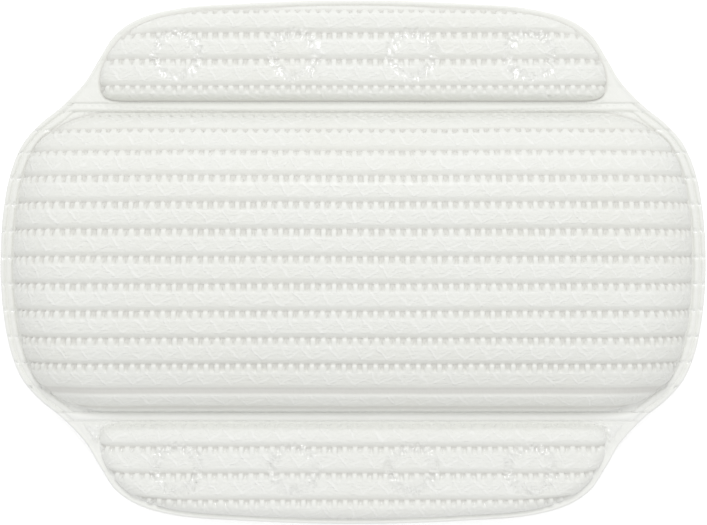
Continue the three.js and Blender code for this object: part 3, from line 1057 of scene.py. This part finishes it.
def film_points(pad, outer_plan, low, high, cup_side):
    """Points of the film inside its edge: along the outline, along the weld round the pad, and in a grid."""
    edges = resampled(OUTLINE, FILM_SPACING)
    foot = resampled(pad.foot, FILM_SPACING)
    lines = [edges + inward(edges) * distance for distance in FILM_EDGE_LINES]
    weld = np.concatenate([foot + inward(foot) * distance for distance in FILM_WELD_LINES])
    weld = weld[from_outline(weld) > FILM_EDGE_LINES[-1] + 0.4]
    if cup_side:
        weld = weld[inside(weld, foot)]
    fill = grid_points(outer_plan, FILM_FILL)
    fill = fill[(from_outline(fill) > 4.3) & (np.abs(pad.from_foot(fill) - 1.5) > 2.6)]
    plan = np.concatenate(lines + [weld, fill])
    room = np.minimum(plan[:, 1] - low, high - plan[:, 1])
    return apart(plan[(room > 0.5) & inside(plan, outer_plan)], FILM_APART)


def back_film(name, pad, low, high, cup_side, body):
    """The plain film behind one pad, pressed in along the welds and drawn tight over the foam."""
    shell = Shell()
    outer_plan = part_of_outline(low, high, FILM_SPACING)
    both = np.concatenate([outer_plan, film_points(pad, outer_plan, low, high, cup_side)])
    from_edge = from_outline(both)
    from_weld = pad.from_foot(both)
    over_foam = inside(both, pad.foot)
    pressed = FILM_LINE_DEPTH * bell(from_edge - 2.6, 0.45) + FILM_EDGE_LIFT * step(0.5, 0, from_edge)
    pressed += FILM_LINE_DEPTH * bell(from_weld - 0.1, 0.5)
    x, y = both.T
    slack = FILM_SLACK * (0.5 + layered(FILM_CRUMPLE, x, y)) * step(0.4, 5, from_weld) * over_foam
    if cup_side:
        for place in CUP_PLACES:
            from_cup = np.hypot(x - place, y - cup_side * CUP_ROW)
            slack *= step(CUP_FOOT_RADIUS - 1, CUP_FOOT_RADIUS + 3, from_cup)
    under = shell.add(both, FILM_UNDER + pressed - slack)
    outer = under[: len(outer_plan)]
    shell.join(triangulated(both, [outer], outer_plan), upward=False)
    face_edge = shell.add(outer_plan, FILM_TOP)
    shell.join(strip(outer, face_edge))
    faces = triangulated(outer_plan, [np.arange(len(outer_plan))], outer_plan)
    shell.join(face_edge[faces], upward=True)
    marks = np.zeros((len(both), 3))
    marks[:, 0] = step(1.2, -0.2, np.where(over_foam, from_weld, -1))
    made = piece(f"{name}_film", shell, film_material, body, {"marks": marks})
    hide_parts(f"{name}_back_film")


def web_height(side, x, over, from_side):
    """The face of a fold web, from places across the pillow and over the web's width."""
    width = WEB_END - WEB_START
    from_crest = over - width / 2 + side * WEB_BEAD_SHIFT
    reach_of_bead = WEB_BEAD_WIDTH / 2 + np.sign(from_crest) * side * WEB_BEAD_SHIFT
    bead = np.clip(1 - (from_crest / reach_of_bead) ** 2, 0, 1) ** 0.7
    bead = bead * (1 + 0.06 * noise(x / 7, over * 0, 61) + 0.04 * noise(x / 2.1, over * 0, 62))
    lip = np.interp(from_side, *CUSHION_EDGE.T) * step(*EDGE_FADE, from_side)
    inner = step(2.6, 5.3, from_side)
    edges = bell(over, 0.25) + bell(over - width, 0.25)
    height = RIM_TOP + lip + inner * WEB_BEAD_HEIGHT * bead - WEB_LINE_DEPTH * edges
    if side > 0:
        slant = WEB_DOTS_OUTER - WEB_DOTS_RISE * (WEB_DOTS_END - np.abs(x)) / WEB_DOTS_LENGTH
        dots = (0.5 + 0.5 * np.cos(2 * math.pi * x / WEB_DOTS_PITCH)) ** 1.5 * band(WEB_DOTS_REACH, np.abs(x))
        height = height - WEB_DOTS_DEPTH * dots * bell(over - slant, WEB_DOTS_WIDTH)
    return height + 0.03 * noise(x / 3.3, over / 0.9, 63) * inner


def around_grid(layer):
    """The vertices round a grid's four sides."""
    return np.concatenate([layer[0, :-1], layer[:-1, -1], layer[-1, :0:-1], layer[:0:-1, 0]])


def fold_web(name, side):
    """The fused strip that a flap folds along, with a rounded bead down its front."""
    shell = Shell()
    width = WEB_END - WEB_START
    half = [0, 0.03, 0.08, 0.15, 0.25, 0.37, 0.52, 0.7, 0.86]
    across = np.concatenate([half, [1], 2 - np.array(half[::-1])]) * width / 2
    y = side * (WEB_START + across)
    near_end = np.array([0, 0.08, 0.25, 0.6, 1.1, 1.7, 2.3]) / 136
    spread = np.concatenate([near_end - 1, np.linspace(-1, 1, 430)[6:-6], 1 - near_end[::-1]])
    x = outline_half_width(y)[:, None] * spread
    over = np.broadcast_to(across[:, None], x.shape).ravel()
    plan = np.stack([x, np.broadcast_to(y[:, None], x.shape)], -1).reshape(-1, 2)
    from_side = from_outline(plan)
    heights = web_height(side, plan[:, 0], over, from_side)
    top = shell.add(plan, heights).reshape(x.shape)
    press = WEB_PRESS * bell(over - width / 2, 1.2) + FILM_EDGE_LIFT * step(0.5, 0, from_side)
    under = shell.add(plan, FILM_UNDER + press).reshape(x.shape)
    for layer, upward in ((top, True), (under, False)):
        a, b, c, d = layer[:-1, :-1], layer[:-1, 1:], layer[1:, 1:], layer[1:, :-1]
        for corners in ((a, b, c), (a, c, d)):
            shell.join(np.stack(corners, -1).reshape(-1, 3), upward=upward)
    wall = strip(around_grid(under), around_grid(top))
    shell.join(wall if side > 0 else wall[:, ::-1])
    # Painted light: the webs are painted pale to lift the shade in their crevices, the lower web more, as it
    # lies in the cushion's shade
    pale = np.full(len(shell.points), 0.65 - 0.3 * side)
    ribs = np.column_stack([shell.points[:, :2], pale])
    marks = np.tile((0, WEB_CREASES, 0), (len(shell.points), 1))
    made = piece(f"{name}_web", shell, vinyl_material, None, {"ribs": ribs, "marks": marks})
    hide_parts(f"{name}_fold_web")
    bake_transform(made)


def curve_between(points, steps):
    """A quadratic or cubic Bezier curve through its control points."""
    t = np.linspace(0, 1, steps)[:, None]
    points = np.array(points, float)
    while len(points) > 1:
        points = [a + (b - a) * t for a, b in zip(points, points[1:])]
    return points[0]


def cup_profile():
    """Half of a suction cup's section, as radius and height: its hollow, rim, crown, neck and foot."""
    rim, neck, foot = CUP_RADIUS, CUP_NECK_RADIUS, CUP_FOOT_RADIUS
    inner = rim - CUP_RIM_LAND
    crown = CUP_HOLLOW + CUP_CROWN
    under = FILM_UNDER - CUP_FOOT
    curves = (
        (18, (0, CUP_HOLLOW), (0.45 * inner, CUP_HOLLOW), (0.85 * inner, 0.4 * CUP_HOLLOW), (inner, 0.12)),
        (4, (inner + 0.05, 0.03), (inner + 0.3, 0), (rim - 0.15, 0)),
        (5, (rim - 0.03, 0.05), (rim, 0.5), (rim - 0.12, CUP_RIM_HEIGHT - 0.05)),
        (16, (rim - 0.5, CUP_RIM_HEIGHT + 0.12), (0.75 * rim, 0.85 * crown), (neck + 0.5, crown)),
        (6, (neck + 0.12, crown + 0.3), (neck, crown + 1.2), (neck + 0.2, under - 0.5)),
        (7, (neck + 0.5, under - 0.12), (neck + 1.2, under), (foot - 0.5, under + 0.25)),
        (5, (foot - 0.2, under + 0.35), (foot, under + 0.5), (foot, FILM_UNDER)),
    )
    return np.concatenate([curve_between(points, steps) for steps, *points in curves])


def suction_cup(name, place, side, body):
    """A suction cup in one moulding: a thin skirt, a neck, and a disc welded to the film."""
    around = 96
    angles = np.arange(around) * 2 * math.pi / around
    circle = np.stack([np.cos(angles), np.sin(angles)], 1)
    middle = np.array([(place, side * CUP_ROW)])
    shell = Shell()
    profile = cup_profile()
    circles = [shell.add(middle + radius * circle, height) for radius, height in profile[1:]]
    low = shell.add(middle, profile[0, 1])[0]
    high = shell.add(middle, profile[-1, 1])[0]
    for inner, outer in zip(circles, circles[1:]):
        shell.join(strip(outer, inner)[:, ::-1])
    for centre, edge, upward in ((low, circles[0], False), (high, circles[-1], True)):
        fan = np.stack([np.full(around, centre), edge, np.roll(edge, -1)], 1)
        shell.join(fan, upward=upward)
    made = piece(name.replace("suction_cup", "cup"), shell, cup_material, body)
    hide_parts(name)


class Wire:
    """A socket that gives a number, for sums written as plain expressions."""

    def __init__(self, graph, socket):
        self.graph = graph
        self.socket = socket

    def __add__(self, other):
        return self.graph.maths("ADD", self, other)

    def __radd__(self, other):
        return self.graph.maths("ADD", other, self)

    def __sub__(self, other):
        return self.graph.maths("SUBTRACT", self, other)

    def __rsub__(self, other):
        return self.graph.maths("SUBTRACT", other, self)

    def __mul__(self, other):
        return self.graph.maths("MULTIPLY", self, other)

    def __rmul__(self, other):
        return self.graph.maths("MULTIPLY", other, self)

    def __truediv__(self, other):
        return self.graph.maths("DIVIDE", self, other)

    def __rtruediv__(self, other):
        return self.graph.maths("DIVIDE", other, self)

    def __neg__(self):
        return self.graph.maths("MULTIPLY", self, -1)

    def limited(self):
        """The same value, kept from 0 to 1."""
        return Wire(self.graph, self.graph.node("Clamp", None, {"Value": self}).outputs[0])

    def bell(self, width):
        """1 where this is zero, falling away over the width on both sides."""
        share = self / width
        return self.graph.maths("EXPONENT", -(share * share))


class Graph:
    """The nodes of one material or world."""

    def __init__(self, tree):
        self.tree = tree
        tree.nodes.clear()

    def node(self, kind, settings=None, values=None):
        """A new node. Its settings are set first, then its sockets, each to a value or a link."""
        made = self.tree.nodes.new(f"ShaderNode{kind}")
        for name, value in (settings or {}).items():
            setattr(made, name, value)
        for name, value in (values or {}).items():
            if isinstance(value, Wire):
                value = value.socket
            if isinstance(value, bpy.types.NodeSocket):
                self.tree.links.new(value, made.inputs[name])
            else:
                made.inputs[name].default_value = value
        return made

    def maths(self, operation, *values):
        values = dict(enumerate(values))
        return Wire(self, self.node("Math", {"operation": operation}, values).outputs[0])

    def parts(self, vector):
        found = self.node("SeparateXYZ", None, {0: vector})
        return [Wire(self, socket) for socket in found.outputs]

    def vector(self, x, y, z):
        return self.node("CombineXYZ", None, {0: x, 1: y, 2: z}).outputs[0]

    def attribute(self, name):
        return self.parts(self.node("Attribute", {"attribute_name": name}).outputs["Vector"])

    def cloud(self, vector, scale, detail=2.0, roughness=0.5):
        """Noise about zero."""
        values = {"Vector": vector, "Scale": scale, "Detail": detail, "Roughness": roughness}
        return Wire(self, self.node("TexNoise", None, values).outputs["Fac"]) - 0.5

    def blend_colours(self, share, first, second):
        values = {"Factor": share, 6: first, 7: second}
        return self.node("Mix", {"data_type": "RGBA"}, values).outputs[2]

    def bump(self, height):
        """A normal from a height in millimetres."""
        values = {"Strength": 1.0, "Distance": METRES, "Height": height}
        return self.node("Bump", None, values).outputs["Normal"]

    def surface(self, values):
        """Ends the material in one shader with these values."""
        shader = self.node("BsdfPrincipled", None, values)
        self.node("OutputMaterial", None, {"Surface": shader.outputs[0]})


def new_material(name):
    made = bpy.data.materials.new(name)
    made.use_nodes = True
    return made, Graph(made.node_tree)


def millimetres(graph):
    """The piece's own coordinates, in millimetres."""
    place = graph.node("TexCoord").outputs["Object"]
    return graph.node("VectorMath", {"operation": "SCALE"}, {0: place, "Scale": 1 / METRES}).outputs[0]


def make_vinyl():
    """Ribbed foam vinyl: slanting creases over each rib, fine wrinkles and a fine grain, with painted
    highlights along the creases and painted light and shade from the pieces' attributes.
    """
    made, graph = new_material("ribbed vinyl")
    place = millimetres(graph)
    across, below, pale = graph.attribute("ribs")
    pits, creases, gloss = graph.attribute("marks")
    rib = graph.maths("FLOOR", below / RIB_PITCH)
    from_line = below - rib * RIB_PITCH

    # Creases in pairs, one pair falling over the rib and one rising, again at each pitch along it
    drift = graph.cloud(place, 0.11)
    tear = graph.cloud(place, 0.45)
    turn = graph.maths("FRACT", (across + rib * CREASE_SHIFT + drift * CREASE_DRIFT) / CREASE_PITCH)
    falling = FALL_START + turn * FALL_DROP + tear * CREASE_TEAR
    rising = RISE_START - turn * RISE_DROP + tear * CREASE_TEAR
    fall = (from_line - falling) * FALL_COSINE
    rise = (from_line - rising) * RISE_COSINE
    on_fall = ((rising - falling) * 0.6 + 0.5).limited()
    ends = (turn * 12).limited() * ((1 - turn) * 12).limited()
    strokes = fall.bell(0.6) + (fall + 2.2).bell(0.5) * 0.5
    others = rise.bell(0.55) * 0.8 + (rise + 1.9).bell(0.5) * 0.4
    patchy = graph.maths("SMOOTH_MIN", graph.cloud(place, 0.17, 1.0) * 3 + 0.9, 1.0, 0.3)
    lines = (strokes * on_fall + others * (1 - on_fall)) * ends * patchy * creases

    wrinkles = graph.cloud(graph.vector(across * 0.9, below * 1.9, rib), 0.42, 3.0, 0.6) * 0.5
    dashes = graph.cloud(graph.vector(across * 0.45, below * 1.6, rib * 3.0), 0.5, 1.0) * 0.22
    grain = graph.cloud(place, 3.2) * 0.03
    crumple = graph.cloud(place, 0.75) * gloss * 0.7
    height = lines * 0.2 + (wrinkles + dashes) * creases + grain + crumple
    tint = graph.blend_colours(graph.cloud(place, 0.03) * 1.6 + 0.5, VINYL_COOL, VINYL_WARM)
    # Painted highlights: the creases' ridges and the pale marks are painted lighter, and the pale share also
    # paints light into the crevices
    tint = graph.blend_colours((pale + lines * 0.55).limited(), tint, VINYL_PAINTED_LIGHT)
    graph.surface(
        {
            # Painted shade: the pits and the pads' feet are painted darker
            "Base Color": graph.blend_colours(pits, tint, VINYL_PAINTED_SHADE),
            "Roughness": graph.cloud(place, 0.6) * 0.12 + 0.4 - gloss * 0.14 + pits * 0.1,
            "Normal": graph.bump(height),
            "Specular IOR Level": 0.25,
            "Coat Weight": gloss * 0.95,
            "Coat Roughness": 0.16,
            "Coat IOR": 2.0,
        }
    )
    return made


def make_film():
    """Plain soft film: a fine matt grain, faint pulls, and a pressed crosswise grain along its welds."""
    made, graph = new_material("plain film")
    place = millimetres(graph)
    weld, _, _ = graph.attribute("marks")
    x, y, _ = graph.parts(place)
    ridges = graph.maths("SINE", (x + y) * 4.4) * graph.maths("SINE", (x - y) * 4.4)
    grain = graph.cloud(place, 2.4, 3.0) * 0.05
    pulls = graph.cloud(graph.vector(x * 0.4, y, 0.0), 0.2, 3.0) * 0.5 * (1 - weld)
    graph.surface(
        {
            "Base Color": graph.blend_colours(graph.cloud(place, 0.02) * 1.5 + 0.5, FILM_PALE, FILM_WARM),
            "Roughness": graph.cloud(place, 0.5) * 0.12 + 0.32 + weld * 0.08,
            "Normal": graph.bump(grain + pulls + ridges * weld * 0.05),
            "Specular IOR Level": 0.5,
            "Coat Weight": 0.15,
            "Coat Roughness": 0.2,
        }
    )
    return made


def make_foam():
    """Open-cell foam: pores of several sizes."""
    made, graph = new_material("cream foam")
    place = millimetres(graph)
    voronoi = graph.node("TexVoronoi", {"feature": "F1"}, {"Vector": place, "Scale": 1.3})
    cells = Wire(graph, voronoi.outputs["Distance"])
    pores = graph.cloud(place, 2.6, 3.0)
    tint = graph.blend_colours(graph.cloud(place, 0.05) + 0.5, FOAM_PALE, FOAM_WARM)
    graph.surface(
        {
            "Base Color": graph.blend_colours(cells * 0.35, FOAM_CELLS, tint),
            "Roughness": pores * 0.1 + 0.92,
            "Normal": graph.bump(cells * 0.4 + pores * 0.2),
        }
    )
    return made


def make_cup():
    """Clear soft vinyl: glossy, with faint flow marks."""
    made, graph = new_material("clear cup vinyl")
    place = millimetres(graph)
    flow = graph.cloud(place, 0.3)
    graph.surface(
        {
            "Base Color": CUP_COLOUR,
            "Roughness": graph.cloud(place, 0.7) * 0.08 + 0.14,
            "Normal": graph.bump(flow * 0.06 + graph.cloud(place, 2.0) * 0.008),
            "Alpha": 0.6,
            "IOR": 1.52,
            "Coat Weight": 0.3,
            "Coat Roughness": 0.08,
        }
    )
    return made


vinyl_material = make_vinyl()
film_material = make_film()
foam_material = make_foam()
cup_material = make_cup()

# The cushion's rows come first, because its foot has a vertex at each of them
even_rows = np.arange(-58, 58, 1.0)
draft = cushion_pad(0, even_rows, 1, CUSHION_TOP, RIM_TOP, CUSHION_FILLET)
cushion_rows = row_places(Section(draft), CUSHION_GROOVE)
pads = {"middle": cushion_pad(0, cushion_rows, FOOT_SPACING, CUSHION_TOP, RIM_TOP, CUSHION_FILLET)}
hollows = {"middle": cushion_pad(COVER_WALL, even_rows[::3], 3, CUSHION_TOP - COVER_WALL, FILM_TOP, 0)}
foams = {"middle": cushion_pad(FOAM_GAP, even_rows[::2], 2, CUSHION_TOP - FOAM_GAP, FILM_TOP, 0)}
for name, side in (("upper", 1), ("lower", -1)):
    pads[name] = flap_pad(side, 0, FOOT_SPACING, FLAP_TOP, RIM_TOP, FLAP_FILLET)
    hollows[name] = flap_pad(side, COVER_WALL, 3, FLAP_TOP - COVER_WALL, FILM_TOP, 0)
    foams[name] = flap_pad(side, FOAM_GAP, 2, FLAP_TOP - FOAM_GAP, FILM_TOP, 0)

# Each part's name, body and side, its first groove, and its limits along Y
PARTS = (
    ("middle", "cushion", 0, CUSHION_GROOVE, -WEB_START, WEB_START),
    ("upper", "upper_flap", 1, UPPER_FLAP_GROOVE, WEB_END, PILLOW_LENGTH),
    ("lower", "lower_flap", -1, LOWER_FLAP_GROOVE, -PILLOW_LENGTH, -WEB_END),
)
of_cushion = (cushion_place, cushion_across, CUSHION_RINGS, CUSHION_EDGE, CUSHION_LIP_RINGS, CUSHION_COLUMNS)
of_flap = (flap_place, flap_across, FLAP_RINGS, FLAP_EDGE, FLAP_LIP_RINGS, FLAP_COLUMNS)
for name, body, side, groove, low, high in PARTS:
    ways = of_flap if side else of_cushion
    front_cover(name, body, pads[name], hollows[name], groove, low, high, *ways)
for name, body, *_ in PARTS:
    foam_core(name, foams[name], body)
for name, body, side, _, low, high in PARTS:
    back_film(name, pads[name], low, high, side, body)
for name, body, side, *_ in PARTS[1:]:
    fold_web(name, side)
    for number, place in enumerate(CUP_PLACES, 1):
        suction_cup(f"{name}_suction_cup_{number}", place, side, body)


def make_floor():
    """A pale floor that looks white to the camera and keeps the pillow's shadow."""
    made, graph = new_material("white floor")
    values = {"Base Color": FLOOR_COLOUR, "Roughness": 0.9, "Specular IOR Level": 0.1}
    paint = graph.node("BsdfPrincipled", None, values).outputs[0]
    glow = graph.node("Emission", None, {"Color": WHITE, "Strength": FLOOR_GLOW}).outputs[0]
    both = graph.node("AddShader", None, {0: paint, 1: glow}).outputs[0]
    seen = graph.node("LightPath").outputs["Is Camera Ray"]
    mixed = graph.node("MixShader", None, {0: seen, 1: paint, 2: both}).outputs[0]
    graph.node("OutputMaterial", None, {"Surface": mixed})
    corners = [(x * FLOOR_REACH, y * FLOOR_REACH, 0) for x, y in ((-1, -1), (1, -1), (1, 1), (-1, 1))]
    mesh = bpy.data.meshes.new("floor")
    mesh.from_pydata(corners, [], [(0, 1, 2, 3)])
    mesh.materials.append(made)
    floor = bpy.data.objects.new("floor", mesh)
    bpy.context.scene.collection.objects.link(floor)


def make_world():
    """Even light from all sides, seen as plain white."""
    world = bpy.data.worlds.new("white room")
    bpy.context.scene.world = world
    world.use_nodes = True
    graph = Graph(world.node_tree)
    path = graph.node("LightPath")
    seen = graph.maths("MAXIMUM", path.outputs["Is Camera Ray"], path.outputs["Is Transmission Ray"])
    room = graph.node("Background", None, {"Color": WHITE, "Strength": ROOM_LIGHT}).outputs[0]
    white = graph.node("Background", None, {"Color": WHITE, "Strength": 1.0}).outputs[0]
    mixed = graph.node("MixShader", None, {0: seen, 1: room, 2: white}).outputs[0]
    graph.node("OutputWorld", None, {"Surface": mixed})


def area_lamp(name, place, size, power):
    """A soft lamp that points at the middle of the pillow."""
    data = bpy.data.lights.new(name, "AREA")
    data.shape = "RECTANGLE"
    data.size, data.size_y = size
    data.energy = power
    lamp = bpy.data.objects.new(name, data)
    lamp.location = place
    lamp.rotation_euler = (-Vector(place)).to_track_quat("-Z", "Y").to_euler()
    bpy.context.scene.collection.objects.link(lamp)


make_floor()
make_world()
for lamp in LAMPS:
    area_lamp(*lamp)

camera = bpy.data.cameras.new("camera")
camera.lens = CAMERA_LENS
camera_object = bpy.data.objects.new("camera", camera)
camera_object.location = CAMERA_PLACE
bpy.context.scene.collection.objects.link(camera_object)
bpy.context.scene.camera = camera_object
bpy.context.scene.view_settings.view_transform = "Standard"

bpy.context.view_layer.update()
